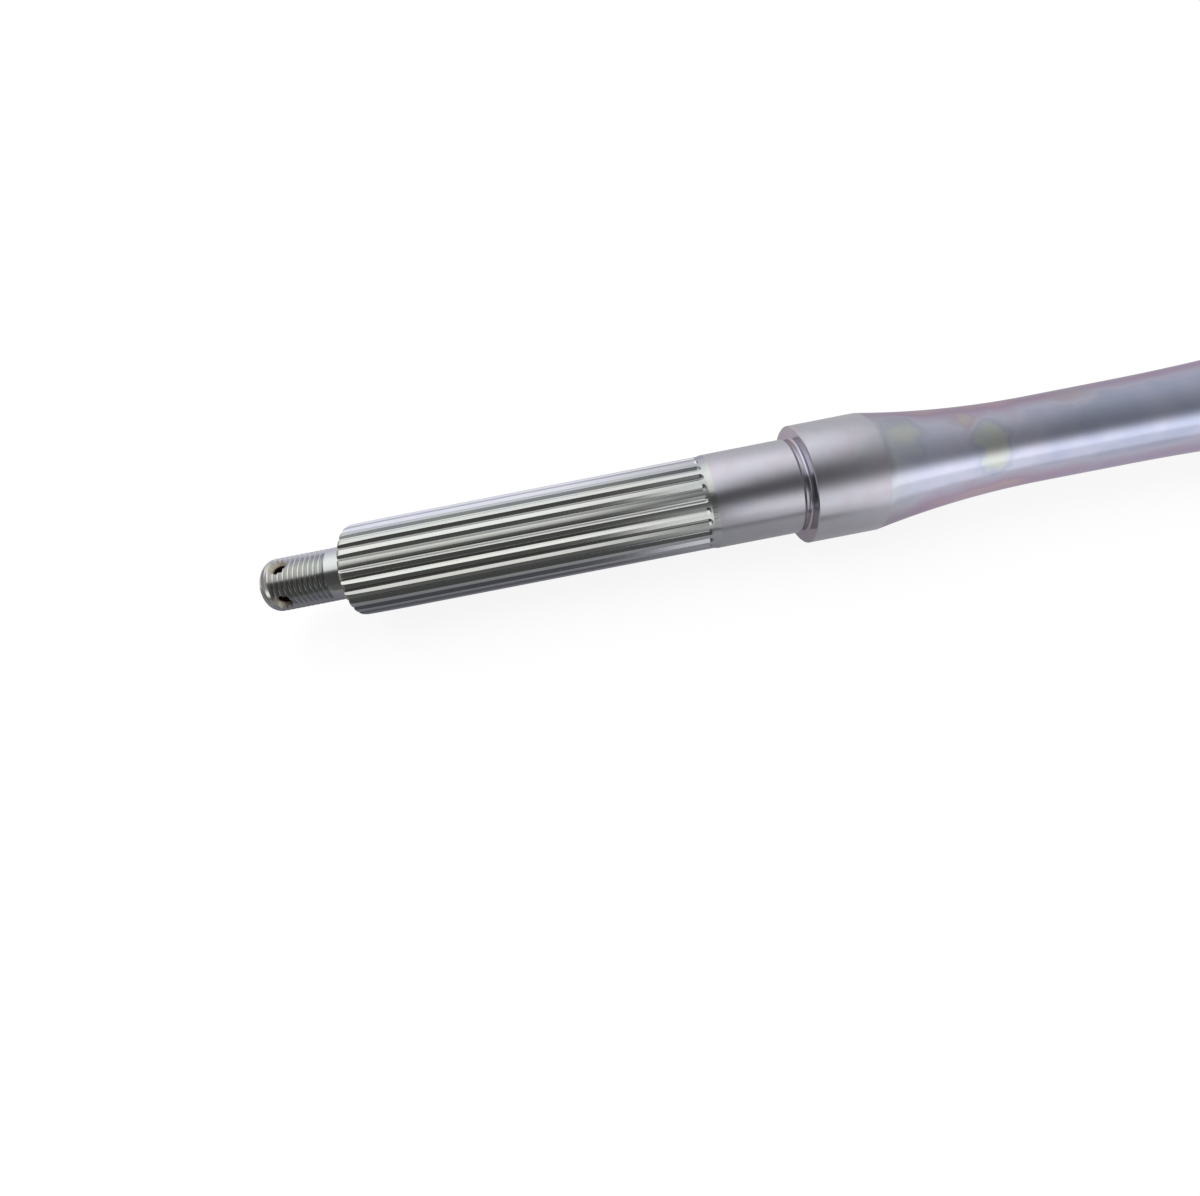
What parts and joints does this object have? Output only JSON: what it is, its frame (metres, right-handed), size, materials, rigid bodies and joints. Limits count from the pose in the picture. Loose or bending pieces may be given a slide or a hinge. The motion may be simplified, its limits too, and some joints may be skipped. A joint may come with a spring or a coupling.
{
  "type": "axle shaft",
  "caption": "Solid turned steel rear axle shaft with threaded, splined wheel ends, cotter holes, ground bearing seats, collars and a slim waist.",
  "frame": {"origin": "middle of the shaft's length, on its axis", "axes": "X along the shaft, with the pictured end at -X; one pair of cotter holes stands along Z, the other lies along Y"},
  "size_m": [0.72, 0.035, 0.035],
  "materials": {
    "plated_steel": "clear zinc plate with a faint rainbow tint over turned steel; the bearing seats and collars are ground bare"
  },
  "bodies": {
    "root": {"axle_shaft": "plated_steel"}
  },
  "joints": []
}
